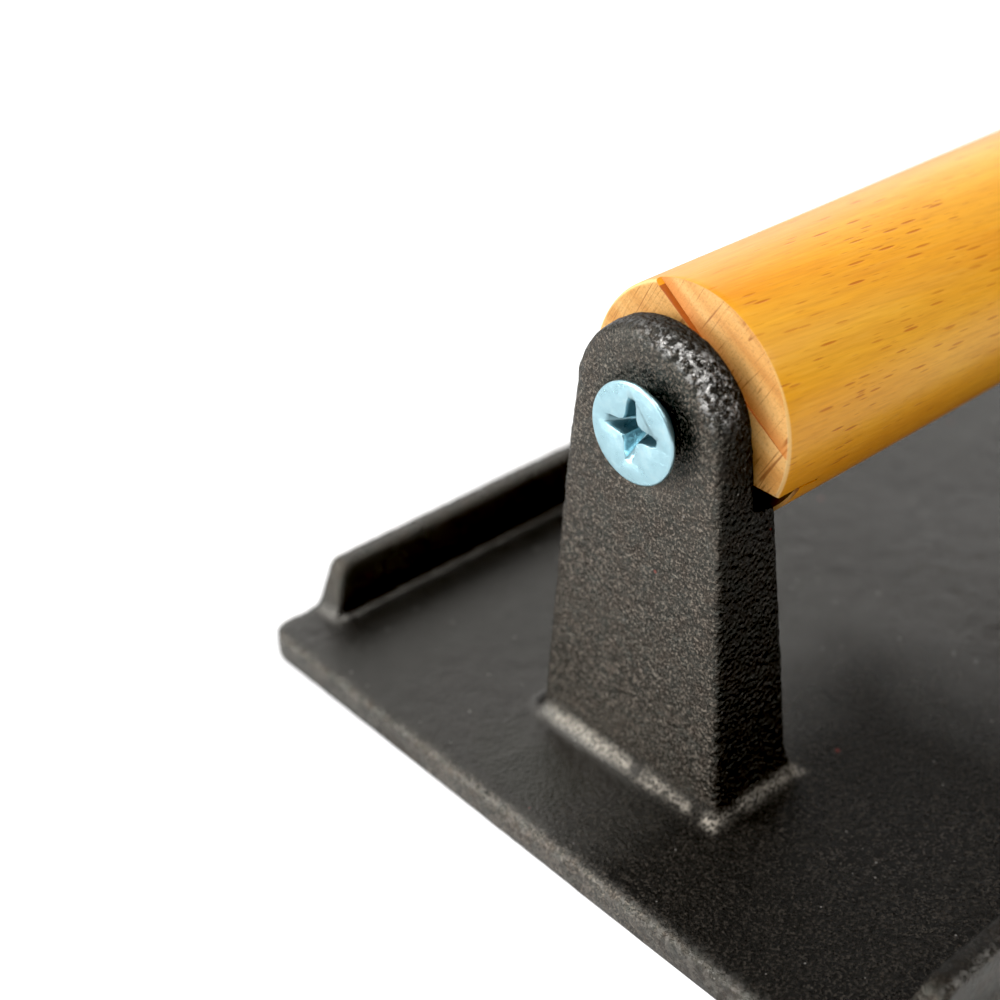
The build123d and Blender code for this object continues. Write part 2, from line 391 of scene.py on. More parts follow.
def thin_casting(obj, points, place, rim):
    """Fewer triangles where nothing shows; a higher weight thins more."""
    obj.data.calc_loop_triangles()
    triangles = len(obj.data.loop_triangles)
    if triangles <= CASTING_TRIANGLES:
        return
    group = obj.vertex_groups.new(name="thin")
    underside = (np.abs(points[:, 2]) < 0.5) & (rim > 2.5)
    detailed = place.post | (np.abs(points[:, 1]) > 45)
    weight = np.where(underside, 1.0, np.where(detailed, 0.15, 0.35))
    weight = np.where(place.post & (points[:, 0] < 0), 0.05, weight)
    for value in np.unique(weight):
        group.add([int(i) for i in np.nonzero(weight == value)[0]], float(value), "REPLACE")
    modify(obj, "DECIMATE", ratio=CASTING_TRIANGLES / triangles, vertex_group="thin",
           vertex_group_factor=1.0, use_collapse_triangulate=True)
    obj.vertex_groups.clear()


def build_casting():
    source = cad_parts["base_casting"]
    obj = link(bpy.data.objects.new("casting_skin", source.data.copy()))
    modify(obj, "REMESH", mode="VOXEL", voxel_size=0.00045, adaptivity=0.0)
    mesh = obj.data
    points = round_post_edges(read_vertices(mesh, "co") * 1000.0)
    place = locate(points)
    flare_feet(points, place)

    # soften the voxel steps, except on the underside
    weight = np.full(len(points), 0.30)
    weight[points[:, 2] < 0.35] = 0.0
    points = relax(mesh, points, weight, rounds=2)
    write_points(mesh, points)
    normals = read_vertices(mesh, "normal")

    # the skin's height along the normals, feature by feature
    shift = cast_skin(points, normals, place)
    crown = crown_mask(points, place)
    shift -= crown * np.clip(value_noise(points, wave=1.15, seed=41) + 0.05, 0, 1) * 0.42
    shift += crown * (pebble_noise(points, size=1.1, seed=43) - 0.5) * 0.16
    foot = foot_mask(points, place)
    bead = pebble_noise(points, size=1.25, seed=12)
    shift += foot * (bead * 0.30 - 0.10 + value_noise(points, wave=2.4, seed=11) * 0.12)
    # small nicks along the plate's rim
    rim = np.minimum(place.setback, HALF_W - np.abs(points[:, 1]))
    rim_edge = bell(rim, 1.1) * ease(0.4, 1.4, points[:, 2])
    shift -= rim_edge * np.clip(value_noise(points, wave=4.5, seed=13) - 0.15, 0, 1) * 0.45
    shift = hold_envelope(shift, points, place, rim)
    shift -= 0.10 * (rim_edge > 0.05) * rim_edge

    # masks that the iron material reads
    rail_top = bell(np.abs(points[:, 1]) - 52.45, 0.42) * ease(6.2, 7.0, place.height)
    turned = np.hypot(normals[:, 1], np.maximum(normals[:, 2], 0.0))
    upper = ease(0.6, 4.0, place.height)
    masks = {
        "foot": foot * ease(0.05, 0.40, bead + 0.25 * value_noise(points, wave=2.8, seed=14)),
        "crown": crown,
        "dull": place.post * ease(0.35, 0.85, turned) * ease(1.5, 4.0, place.height),
        "worn": np.clip(np.maximum(rim_edge * 0.8, rail_top * 1.5), 0, 1),
        "coarse": np.clip(upper + 0.6 * foot + ease(1.6, 0.4, rim), 0, 1),
    }
    for key, value in masks.items():
        attribute = mesh.attributes.new(key, "FLOAT", "POINT")
        attribute.data.foreach_set("value", value.astype(np.float32))

    points = points + normals * shift[:, None]
    points[:, 2] = np.maximum(points[:, 2], 0.0)
    points[:, 0] = np.clip(points[:, 0], -END_X, END_X)
    points[:, 1] = np.clip(points[:, 1], -HALF_W, HALF_W)
    write_points(mesh, points)
    thin_casting(obj, points, place, rim)
    shade_smooth(obj)
    return obj


# ---------------------------------------------------------------- beech handle
def turn_grip():
    spacing = 1.2
    count = int(round(2 * (GRIP_HALF - ARRIS) / spacing))
    middle = np.linspace(-GRIP_HALF + ARRIS, GRIP_HALF - ARRIS, count + 1)
    ends = ARRIS * (1 - np.sin(np.radians([90, 74, 58, 42, 26, 12])))
    stations = np.concatenate([-GRIP_HALF + ends, middle, (GRIP_HALF - ends)[::-1]])

    def radius(i, angles):
        x = np.full(len(angles), stations[i])
        surface = np.stack([x, GRIP_R * np.cos(angles), GRIP_R * np.sin(angles)], 1)
        worn = value_noise(surface * np.array([0.35, 1, 1]), wave=9.0, seed=31) * 0.035
        past = max(0.0, ARRIS - (GRIP_HALF - abs(stations[i])))
        drop = ARRIS - math.sqrt(max(ARRIS * ARRIS - past * past, 0.0))
        return GRIP_R - 0.045 + worn - drop * 0.94

    return lathe("beech_handle", stations, radius, 224)


def notch_cutter(side):
    """Clears the handle's underside at one end, with a rounded lip at the end face."""
    ceiling, floor_z = AXIS_Z - NOTCH_DROP, AXIS_Z - 30
    inner, outer, lip = GRIP_HALF - NOTCH_DEPTH, GRIP_HALF + 3, NOTCH_LIP_R
    outline = [(inner, floor_z), (inner, ceiling)]
    outline += [
        (GRIP_HALF - lip * (1 - math.sin(a)), ceiling + lip * (1 - math.cos(a)))
        for a in np.radians(np.arange(0, 91, 15))
    ]
    outline += [(outer, ceiling + lip + 0.1), (outer, floor_z)]
    return prism("notch", [(side * x, y, z) for y in (-CUT_HALF, CUT_HALF) for x, z in outline])


def kerf_cutter(side):
    """Thin slot that runs on inwards from the notch's ceiling, dipping slightly."""
    wall, ceiling = side * (GRIP_HALF - NOTCH_DEPTH), AXIS_Z - NOTCH_DROP
    cos, sin = math.cos(KERF_TILT), math.sin(KERF_TILT)
    corners = [(-1, 0.0), (KERF_RUN, 0.0), (KERF_RUN, -KERF_T), (-1, -KERF_T)]
    outline = [
        (wall - side * (run * cos + rise * sin), ceiling - run * sin + rise * cos)
        for run, rise in corners
    ]
    return prism("kerf", [(x, y, z) for y in (-CUT_HALF, CUT_HALF) for x, z in outline])


def bore_cutter(side):
    """Clearance for the screw, a little over its shank, with a tapered tip."""
    depths = [0.0, BORE_DEPTH - 5.0, BORE_DEPTH]
    radii = [BORE_R, BORE_R, BORE_TIP_R]
    stations = [side * (GRIP_HALF + 2 - depth) for depth in depths]
    return lathe("bore", stations, lambda i, angles: np.full(len(angles), radii[i]), 48)


def step_cutter():
    """Shallow sloping step across the upper part of the -X end."""
    along = np.array([0, -math.cos(STEP_TILT), -math.sin(STEP_TILT)])
    outwards = np.array([0, -math.sin(STEP_TILT), math.cos(STEP_TILT)])
    base = np.array([-GRIP_HALF, 0, AXIS_Z]) + outwards * STEP_DIST
    # run along the step's edge, depth into the end
    corners = [(-16, -0.6), (15, -0.6), (12.2, 0.0), (-16, STEP_DEEP)]
    return prism("step", [
        base + along * run + np.array([depth, 0, 0]) + outwards * reach
        for reach in (0, 12) for run, depth in corners
    ])


def build_grip():
    grip = turn_grip()
    makers = (notch_cutter, kerf_cutter, bore_cutter)
    cutters = [make(side) for side in (-1, 1) for make in makers]
    cut(grip, cutters + [step_cutter()])
    bevel(grip, width=0.25, degrees=40)
    shade_smooth(grip)
    return grip


# ---------------------------------------------------------------- screws
# depth behind the head's face, radius less than the head's
HEAD_EDGE = [(0.0, 0.34), (0.05, 0.16), (0.14, 0.05), (0.24, 0.004), (0.34, 0.004),
             (HEAD_RIM, 0.03)]
# one wing of the cross recess: distance from the middle, offset across the wing
RECESS_WING = [(1.78, -0.86), (3.2, -0.74), (3.92, -0.52), (4.03, 0.0), (3.92, 0.52),
               (3.2, 0.74), (1.78, 0.86)]
RECESS_CROTCH = 1.62                         # corner between two wings, from the middle
# depth behind the head's face, scale of the recess outline
RECESS_LEVELS = [(-0.6, 1.17), (0.0, 1.03), (0.16, 0.975), (1.2, 0.76), (2.3, 0.53),
                 (3.0, 0.36), (3.55, 0.10)]


def recess_cutter(side, turn, shift_y, shift_z):
    """Four tapered wings with blunt ends and a conical middle."""
    outline = []
    for quarter in range(4):
        angle = math.radians(turn + 90 * quarter)
        cos, sin = math.cos(angle), math.sin(angle)
        for reach, offset in RECESS_WING:
            outline.append((reach * cos - offset * sin, reach * sin + offset * cos))
        between = angle + math.radians(45)
        outline.append((RECESS_CROTCH * math.cos(between), RECESS_CROTCH * math.sin(between)))
    points = []
    for depth, level_scale in RECESS_LEVELS:
        for y, z in outline:
            # above the tip, the wings shorten faster than the middle narrows
            whole = math.hypot(y, z) > 2 or depth > 3.2
            scale = level_scale if whole else 0.35 + 0.65 * level_scale
            x = side * HEAD_OUT - side * depth
            points.append((x, y * scale + shift_y, AXIS_Z + z * scale + shift_z))
    size, count = len(outline), len(RECESS_LEVELS)
    faces = side_faces(count, size)
    faces += [tuple(range(size)), tuple(range((count - 1) * size, count * size))]
    return solid("recess", np.array(points), faces)


def build_screw(name, side, turn, shift_y, shift_z):
    """Countersunk wood screw, its head at side * X; turn is the recess's, in degrees."""
    cone = HEAD_R - 3.05
    depths = [depth for depth, _ in HEAD_EDGE]
    radii = [HEAD_R - less for _, less in HEAD_EDGE]
    for part in np.linspace(0, 1, 7)[1:]:
        depths.append(HEAD_RIM + cone * part)
        radii.append(HEAD_R - 0.03 + (3.02 - HEAD_R + 0.03) * part)
    spacing = 0.16
    shank = np.arange(HEAD_RIM + cone + 0.15, SCREW_LENGTH - 0.15, spacing)
    depths = np.array(depths + list(shank) + [SCREW_LENGTH - 0.04])

    def radius(i, angles):
        if i < len(radii):
            return np.full(len(angles), radii[i])
        depth = depths[i]
        # thread: a ridge that climbs one pitch a turn
        phase = (depth / THREAD_PITCH + side * angles / (2 * math.pi)) % 1.0
        ridge = np.clip(1 - np.abs(phase - 0.5) / 0.27, 0, 1)
        threaded = ease(THREAD_START - 0.6, THREAD_START + 1.2, depth)
        point = ease(SCREW_LENGTH, SCREW_LENGTH - 5.2, depth)
        narrowed = ease(THREAD_START - 1.2, THREAD_START + 0.4, depth)
        core = SHANK_R + (CORE_R - SHANK_R) * narrowed
        core = core * (0.06 + 0.94 * (point ** 0.6))
        tall = (THREAD_TALL * threaded * (0.15 + 0.85 * point)
                * ease(THREAD_END + 0.5, THREAD_END - 1.0, depth))
        return core + ridge * tall

    stations = [side * HEAD_OUT - side * depth for depth in depths]
    screw = lathe(name, stations, radius, 96)
    cut(screw, [recess_cutter(side, turn, shift_y, shift_z)])
    bevel(screw, width=0.08, degrees=38)
    shade_smooth(screw)
    return screw


# ---------------------------------------------------------------- shader nodes
class Graph:
    """Node tree of a new material or world. Sockets are linked, plain values are set."""

    def __init__(self, owner):
        self.owner = owner
        owner.use_nodes = True
        self.tree = owner.node_tree
        self.tree.nodes.clear()

    def node(self, kind, inputs=None, **settings):
        node = self.tree.nodes.new("ShaderNode" + kind)
        for key, value in settings.items():
            setattr(node, key, value)
        for key, value in (inputs or {}).items():
            socket = node.inputs[key]
            if isinstance(value, bpy.types.NodeSocket):
                self.tree.links.new(value, socket)
            else:
                socket.default_value = (*value, 1) if socket.type == "RGBA" else value
        return node

    def math(self, operation, first, second=0.0, clamp=False):
        inputs = {0: first, 1: second}
        return self.node("Math", inputs, operation=operation, use_clamp=clamp).outputs[0]

    def add(self, *values):
        return reduce(lambda first, second: self.math("ADD", first, second), values)

    def mul(self, *values):
        return reduce(lambda first, second: self.math("MULTIPLY", first, second), values)

    def sub(self, first, second, clamp=False):
        return self.math("SUBTRACT", first, second, clamp)

    def abs(self, value):
        return self.math("ABSOLUTE", value)

    def below(self, value, limit):
        return self.math("LESS_THAN", value, limit)

    def above(self, value, limit):
        return self.math("GREATER_THAN", value, limit)

    def remap(self, value, span, to=(0.0, 1.0), kind="LINEAR"):
        inputs = dict(enumerate((value, *span, *to)))
        return self.node("MapRange", inputs, interpolation_type=kind).outputs[0]

    def ease(self, value, span, to=(0.0, 1.0)):
        return self.remap(value, span, to, "SMOOTHSTEP")

    def ramp(self, value, stops):
        node = self.node("ValToRGB", {0: value})
        elements = node.color_ramp.elements
        while len(elements) < len(stops):
            elements.new(0.5)
        for element, (position, colour) in zip(elements, stops):
            element.position = position
            element.color = (*colour, 1)
        return node.outputs[0]

    def layer(self, base, over, by, strength=None):
        """Covers one colour with another where the mask `by` is high."""
        if strength is not None:
            by = self.mul(by, strength)
        return self.node("Mix", {0: by, 6: base, 7: over}, data_type="RGBA").outputs[2]

    def split(self, vector):
        return self.node("SeparateXYZ", {"Vector": vector}).outputs

    def coords(self):
        """Object coordinates in mm."""
        place = self.node("TexCoord").outputs["Object"]
        return self.node("VectorMath", {0: place, "Scale": 1000.0}, operation="SCALE").outputs[0]

    def normals(self):
        return self.split(self.node("TexCoord").outputs["Normal"])

    def noise(self, vector, scale=1.0, detail=2.0, rough=0.5, warp=0.0):
        inputs = {"Vector": vector, "Scale": scale, "Detail": detail, "Roughness": rough,
                  "Distortion": warp}
        return self.node("TexNoise", inputs).outputs[0]

    def voronoi(self, vector, scale=1.0, feature="F1"):
        inputs = {"Vector": vector, "Scale": scale}
        return self.node("TexVoronoi", inputs, feature=feature).outputs["Distance"]

    def bump(self, height, distance, under=None):
        inputs = {"Height": height, "Strength": 1.0, "Distance": distance}
        if under is not None:
            inputs["Normal"] = under
        return self.node("Bump", inputs).outputs[0]

    def finish(self, **inputs):
        inputs = {key.replace("_", " "): value for key, value in inputs.items()}
        surface = self.node("BsdfPrincipled", inputs).outputs[0]
        self.node("OutputMaterial", {0: surface})
        return self.owner


def new_graph(name):
    return Graph(bpy.data.materials.new(name))


# ---------------------------------------------------------------- materials
def iron_material():
    graph = new_graph("seasoned_cast_iron")
    add, sub, mul, noise = graph.add, graph.sub, graph.mul, graph.noise
    ease, remap, layer = graph.ease, graph.remap, graph.layer
    place = graph.coords()
    foot, crown, dull, worn, coarse = [
        graph.node("Attribute", attribute_name=key).outputs["Fac"]
        for key in ("foot", "crown", "dull", "worn", "coarse")
    ]
    broad = noise(place, scale=0.035, detail=3, rough=0.6)
    mid = noise(place, scale=0.22, detail=4, rough=0.6)
    fine = noise(place, scale=1.3, detail=3, rough=0.6)
    dust = noise(place, scale=2.6, detail=3, rough=0.7)
    base = graph.ramp(mid, [
        (0.30, (0.0020, 0.0019, 0.0017)),
        (0.62, (0.0038, 0.0033, 0.0028)),
        (0.80, (0.0070, 0.0058, 0.0045)),
    ])
    lighter = remap(fine, span=(0.45, 0.80), to=(0.0, 0.7))
    base = layer(base, over=(0.0085, 0.0075, 0.0064), by=lighter)

    # the plate is duller and sandier towards -Y, near each end
    x, y, z = graph.split(place)
    across = graph.abs(y)
    wander = mul(sub(broad, 0.5), 22.0)
    sandy = ease(add(y, wander), span=(8.0, -14.0))
    sandy = mul(sandy, ease(sub(graph.abs(x), wander), span=(34.0, 56.0)))
    sandy = graph.math("MULTIPLY", sandy, sub(1.0, coarse), clamp=True)
    # the top of the rail on that side is duller too
    lid = mul(
        ease(y, span=(-46.0, -48.5)), ease(y, span=(-52.75, -52.25)), ease(z, span=(10.6, 11.6)))

    # pale dust in the coarse skin, mostly on the middle of the plate's width
    dusty = sub(remap(coarse, span=(0.0, 1.0), to=(0.05, 1.0)), mul(dull, 0.85), clamp=True)
    dusty = mul(dusty, remap(across, span=(18.0, 26.0), to=(1.0, 0.08)))
    dusty = add(dusty, mul(sandy, 0.20))
    dusty = mul(ease(dust, span=(0.50, 0.64)), dusty)
    base = layer(base, over=(0.155, 0.131, 0.107), by=dusty)

    # bare grey iron at worn edges; bare metal on the crowns' shoulders and the foot's beads,
    # painted paler as their highlights
    bare = mul(worn, ease(noise(place, scale=1.1, detail=4, rough=0.7), span=(0.46, 0.60)))
    bare_crown_highlight = mul(crown, ease(noise(place, scale=1.4, detail=4, rough=0.8), span=(0.50, 0.57)))
    grit = noise(place, scale=2.1, detail=3, rough=0.7)
    grit = ease(grit, span=(0.44, 0.56), to=(0.05, 1.35))
    bare_bead_highlight = graph.math("MULTIPLY", foot, grit, clamp=True)
    base = layer(base, over=(0.19, 0.18, 0.165), by=bare, strength=0.70)
    # near-white patch on the crowns: bare metal, and a painted highlight
    base = layer(base, over=(0.58, 0.57, 0.55), by=bare_crown_highlight, strength=0.9)
    # pale beads at the foot: bare metal, and a painted highlight
    base = layer(base, over=(0.44, 0.395, 0.33), by=bare_bead_highlight, strength=0.80)
    # rare specks: pale grey ones painted as glints, and reddish ones
    glint_speck = graph.below(graph.voronoi(place, scale=0.36), 0.05)
    base = layer(base, over=(0.16, 0.15, 0.14), by=glint_speck)
    red_speck = graph.below(graph.voronoi(place, scale=0.09), 0.030)
    base = layer(base, over=(0.12, 0.022, 0.018), by=red_speck)

    # roughness, with oily glints on the tops of single grains
    speck = graph.voronoi(place, scale=1.9)
    rough = remap(mid, span=(0.3, 0.7), to=(0.21, 0.29))
    rough = add(rough, remap(broad, span=(0.35, 0.65), to=(-0.04, 0.05)))
    rough = sub(rough, remap(speck, span=(0.05, 0.28), to=(0.12, 0.0)), clamp=True)
    rough = sub(rough, remap(coarse, span=(0.0, 1.0), to=(0.07, 0.0)))
    rough = add(rough, mul(sandy, 0.11))
    rough = graph.math("MAXIMUM", rough, 0.13)

    # relief: sand grains, pits on the crowns, then a finer tooth over both
    grain = graph.voronoi(place, scale=1.9, feature="SMOOTH_F1")
    pits = noise(place, scale=0.85, detail=2, rough=0.5)
    height = add(sub(0.6, grain), mul(fine, 0.8))
    by_skin = add(remap(coarse, span=(0.0, 1.0), to=(0.32, 1.0)), mul(sandy, 1.05))
    height = mul(height, by_skin, remap(dull, span=(0.0, 1.0), to=(1.0, 4.6)))
    height = add(height, mul(crown, pits, 3.2))
    relief = graph.bump(height, distance=0.00016)
    tooth = noise(place, scale=4.4, detail=3, rough=0.7)
    by_skin = add(remap(coarse, span=(0.0, 1.0), to=(0.45, 1.0)), mul(sandy, 1.7))
    relief = graph.bump(mul(tooth, by_skin), distance=0.00011, under=relief)

    # oiled skin: warm on the posts, duller on their sides and rounded tops
    warmth = remap(noise(place, scale=0.5, detail=3, rough=0.65), span=(0.35, 0.65))
    tint = layer((0.93, 0.93, 0.80), over=(1.0, 0.84, 0.68), by=warmth)
    tint = layer((1.0, 0.965, 0.87), over=tint, by=coarse)
    level = sub(0.5, mul(graph.math("MAXIMUM", dull, mul(crown, 1.2)), 0.24))
    level = sub(level, mul(sandy, 0.43))
    level = sub(level, mul(lid, 0.36), clamp=True)
    metal = graph.math("MAXIMUM", mul(bare, 0.6), mul(bare_crown_highlight, 0.8))
    return graph.finish(Base_Color=base, Roughness=rough, IOR=1.70, Normal=relief,
                        Metallic=metal, Specular_IOR_Level=level, Specular_Tint=tint)


def wood_material():
    graph = new_graph("lacquered_beech")
    add, sub, mul, noise = graph.add, graph.sub, graph.mul, graph.noise
    ease, remap, layer = graph.ease, graph.remap, graph.layer
    x, y, z = graph.split(graph.coords())
    # fibres run a few degrees off the handle's axis
    fibre_y = add(y, mul(x, 0.070))
    fibre_z = add(sub(z, AXIS_Z), mul(x, 0.052))
    # radial (ray) and tangential (ring) directions of the log
    cos, sin = math.cos(math.radians(120)), math.sin(math.radians(120))
    radial = add(mul(fibre_y, cos), mul(fibre_z, sin))
    tangent = add(mul(fibre_y, -sin), mul(fibre_z, cos))

    def grain_space(along, ray, ring):
        """Coordinates scaled along the fibre, along the rays and along the rings."""
        inputs = {"X": mul(x, along), "Y": mul(radial, ray), "Z": mul(tangent, ring)}
        return graph.node("CombineXYZ", inputs).outputs[0]

    broad = noise(grain_space(0.012, 0.055, 0.075), detail=3, rough=0.55, warp=0.4)
    streak = noise(grain_space(0.035, 0.9, 0.9), detail=4, rough=0.6, warp=0.2)
    fibre = noise(grain_space(0.16, 3.2, 3.2), detail=3, rough=0.6)
    colour = graph.ramp(broad, [
        (0.30, (0.96, 0.485, 0.044)),
        (0.50, (0.94, 0.415, 0.022)),
        (0.66, (0.87, 0.320, 0.013)),
    ])
    for pattern, span, strongest, over in (
        (streak, (0.35, 0.70), 0.42, (0.73, 0.290, 0.026)),
        (fibre, (0.45, 0.75), 0.36, (0.60, 0.215, 0.020)),
        (fibre, (0.45, 0.22), 0.22, (0.98, 0.60, 0.12)),
    ):
        colour = layer(colour, over, by=remap(pattern, span, to=(0.0, strongest)))

    # ray flecks: short dashes along the fibre, thin and darker
    def flecks(along, around, span, offset):
        inputs = {0: grain_space(along, around, around), 1: offset}
        moved = graph.node("VectorMath", inputs, operation="ADD").outputs[0]
        return ease(graph.voronoi(moved), span, to=(1.0, 0.0))

    long_flecks = flecks(0.115, 1.10, span=(0.11, 0.20), offset=(0, 0, 0))
    mid_flecks = flecks(0.150, 1.45, span=(0.11, 0.21), offset=(7.3, 2.1, 5.7))
    short_flecks = flecks(0.260, 2.60, span=(0.10, 0.24), offset=(3.1, 9.2, 1.4))
    patchy = noise(grain_space(0.05, 0.12, 0.16), detail=2, rough=0.5)
    patchy = remap(patchy, span=(0.38, 0.62), to=(0.35, 1.0))
    fleck = graph.math("MAXIMUM", mul(long_flecks, 0.90), mul(mid_flecks, 0.70))
    fleck = mul(graph.math("MAXIMUM", fleck, mul(short_flecks, 0.35)), patchy)
    colour = layer(colour, over=(0.56, 0.145, 0.008), by=fleck)

    # end grain: paler and duller, with thin rays along the radius and fine pores
    normal_x = graph.normals()[0]
    endness = ease(graph.abs(normal_x), span=(0.55, 0.85))
    rings = noise(grain_space(0.0, 0.42, 0.03))
    end_colour = graph.ramp(rings, [
        (0.30, (0.86, 0.500, 0.175)),
        (0.52, (0.78, 0.400, 0.115)),
        (0.70, (0.68, 0.310, 0.075)),
    ])
    # rays: hairlines across the rings
    across = noise(grain_space(0.0, 0.045, 1.05), detail=1, rough=0.4)
    ray = ease(graph.abs(sub(across, 0.5)), span=(0.006, 0.024), to=(1.0, 0.0))
    broken = noise(grain_space(0.0, 0.22, 0.5), detail=2, rough=0.5)
    ray = mul(ray, ease(broken, span=(0.42, 0.56), to=(0.15, 1.0)))
    end_colour = layer(end_colour, over=(0.33, 0.095, 0.014), by=ray, strength=0.85)
    pores = graph.voronoi(grain_space(0.02, 3.2, 3.2))
    pores = remap(pores, span=(0.10, 0.35), to=(0.40, 0.0))
    end_colour = layer(end_colour, over=(0.36, 0.15, 0.04), by=pores)
    sawn = noise(grain_space(0.0, 2.6, 2.6), detail=3, rough=0.7)
    sawn = remap(sawn, span=(0.50, 0.68), to=(0.0, 0.45))
    end_colour = layer(end_colour, over=(0.46, 0.20, 0.055), by=sawn)

    # the step across the -X end: painted shade on its wall, and a band of painted shade on the
    # cut beside it
    rise = sub(z, AXIS_Z)
    past = add(mul(y, -math.sin(STEP_TILT)), mul(rise, math.cos(STEP_TILT)))
    past = sub(past, STEP_DIST)
    near_end = graph.below(x, -GRIP_HALF + 1.4)
    # painted shade: a darker orange band on the cut, fading away from the step
    glow = mul(graph.above(past, -0.02), ease(past, span=(0.0, 2.4), to=(0.75, 0.0)))
    end_colour = layer(end_colour, over=(0.70, 0.215, 0.030), by=mul(glow, near_end))
    from_axis = graph.math("SQRT", add(mul(y, y), mul(rise, rise)))
    inner = graph.below(from_axis, GRIP_R - 0.8)
    wall = mul(near_end, inner, graph.below(graph.abs(normal_x), 0.6))
    colour = layer(colour, over=end_colour, by=endness)
    # painted shade on the walls cut into the handle near the -X end face
    colour = layer(colour, over=(0.42, 0.105, 0.014), by=wall)

    # a pale painted highlight along the turned arris
    lean = graph.abs(normal_x)
    at_edge = mul(graph.above(from_axis, GRIP_R - 0.75),
                  graph.above(graph.abs(x), GRIP_HALF - 0.7))
    arris_highlight = mul(mul(ease(lean, span=(0.12, 0.45)), ease(lean, span=(0.97, 0.80))), at_edge)
    colour = layer(colour, over=(1.0, 0.72, 0.33), by=arris_highlight, strength=0.55)
    # painted shade inside the notches and the kerfs: near-black wood, which also gets less coat
    # and less specular
    notch_shade = mul(
        graph.below(rise, -NOTCH_DROP + 0.2),
        graph.above(graph.abs(x), GRIP_HALF - NOTCH_DEPTH - KERF_RUN),
        graph.below(from_axis, GRIP_R - 0.45),
    )
    colour = layer(colour, over=(0.030, 0.012, 0.005), by=notch_shade, strength=0.92)
    # darker where other surfaces mirror it
    mirrored = graph.node("LightPath").outputs["Is Glossy Ray"]
    colour = layer(colour, over=(0.060, 0.050, 0.042), by=mirrored, strength=0.85)

    rough = add(remap(streak, span=(0.3, 0.7), to=(0.30, 0.38)), mul(endness, 0.24))
    height = sub(mul(fibre, 0.35), mul(fleck, 0.6))
    saw_marks = noise(grain_space(0.0, 0.25, 4.0), detail=2, rough=0.5)
    height = add(height, mul(saw_marks, endness, 1.4))
    relief = graph.bump(height, distance=0.00005)
    coat = mul(sub(0.12, mul(endness, 0.11)), sub(1.0, notch_shade))
    level = mul(sub(1.0, notch_shade), 0.42)
    return graph.finish(Base_Color=colour, Roughness=rough, IOR=1.42, Normal=relief,
                        Coat_Weight=coat, Coat_Roughness=0.25, Specular_IOR_Level=level)


def zinc_material():
    graph = new_graph("bright_zinc_plate")
    add, sub, mul, remap = graph.add, graph.sub, graph.mul, graph.remap
    place = graph.coords()
    x, y, z = graph.split(place)
    rise = sub(z, AXIS_Z)
    from_axis = graph.math("SQRT", add(mul(y, y), mul(rise, rise)))
    cloud = graph.noise(place, scale=0.55, detail=3, rough=0.6)
    fine = graph.noise(place, scale=6.0, detail=2, rough=0.6)
    base = graph.ramp(cloud, [
        (0.30, (0.47, 0.74, 0.83)),
        (0.55, (0.53, 0.81, 0.90)),
        (0.75, (0.62, 0.86, 0.92)),
    ])
    # painted shade in the recess, darkest on faces that look down
    depth = sub(HEAD_OUT, graph.abs(x))
    recess_shade = mul(remap(depth, span=(0.12, 0.45)), graph.below(from_axis, 4.7))
    under = remap(graph.normals()[2], span=(0.25, -0.45), to=(0.40, 0.90))
    base = graph.layer(base, over=(0.035, 0.085, 0.100), by=mul(recess_shade, under))
    # faint turning rings, fine scratches and shallow dings
    turning = graph.node("CombineXYZ", {"X": from_axis}).outputs[0]
    ring = graph.noise(turning, scale=5.0, detail=3)
    rough = add(remap(cloud, span=(0.3, 0.7), to=(0.26, 0.36)), mul(sub(ring, 0.5), 0.10))
    scratch = graph.below(graph.voronoi(place, scale=0.9, feature="DISTANCE_TO_EDGE"), 0.010)
    height = sub(add(mul(ring, 0.5), mul(fine, 0.25)), mul(scratch, 0.25))
    relief = graph.bump(height, distance=0.000018)
    dings = graph.noise(place, scale=1.4, detail=2, rough=0.5)
    relief = graph.bump(dings, distance=0.00006, under=relief)
    return graph.finish(Base_Color=base, Metallic=1.0, Roughness=rough, Normal=relief)


def floor_material():
    """Glows brighter to the camera than onto the object."""
    graph = new_graph("pale_floor")
    seen = graph.node("LightPath").outputs["Is Camera Ray"]
    glow = graph.remap(seen, span=(0.0, 1.0), to=(0.46, 0.98))
    return graph.finish(Base_Color=(0.30, 0.30, 0.30), Roughness=0.9,
                        Emission_Color=(1, 1, 1), Emission_Strength=glow)


# ---------------------------------------------------------------- pieces
casting = build_casting()
grip = build_grip()
front_screw = build_screw(
    "front_screw_head_and_thread", side=-1, turn=0.0, shift_y=0.15, shift_z=0.42)
rear_screw = build_screw(
    "rear_screw_head_and_thread", side=1, turn=28.0, shift_y=-0.10, shift_z=0.12)
iron = iron_material()
beech = wood_material()
zinc = zinc_material()

for obj, material, body, node, slot in (
    (casting, iron, "press", "base_casting", "black_iron"),
    (grip, beech, "press", "handle_grip", "beech"),
    (front_screw, zinc, "front_screw", "front_handle_screw", "zinc_steel"),
    (rear_screw, zinc, "rear_screw", "rear_handle_screw", "zinc_steel"),
):
    obj.data.materials.clear()
    obj.data.materials.append(material)
    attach(obj, body)
    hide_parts(node)


# ---------------------------------------------------------------- floor
def build_floor():
    edit = bmesh.new()
    bmesh.ops.create_grid(edit, x_segments=1, y_segments=1, size=3.0)
    mesh = bpy.data.meshes.new("floor")
    edit.to_mesh(mesh)
    edit.free()
    floor = link(bpy.data.objects.new("floor", mesh))
    mesh.materials.append(floor_material())
    return floor


build_floor()

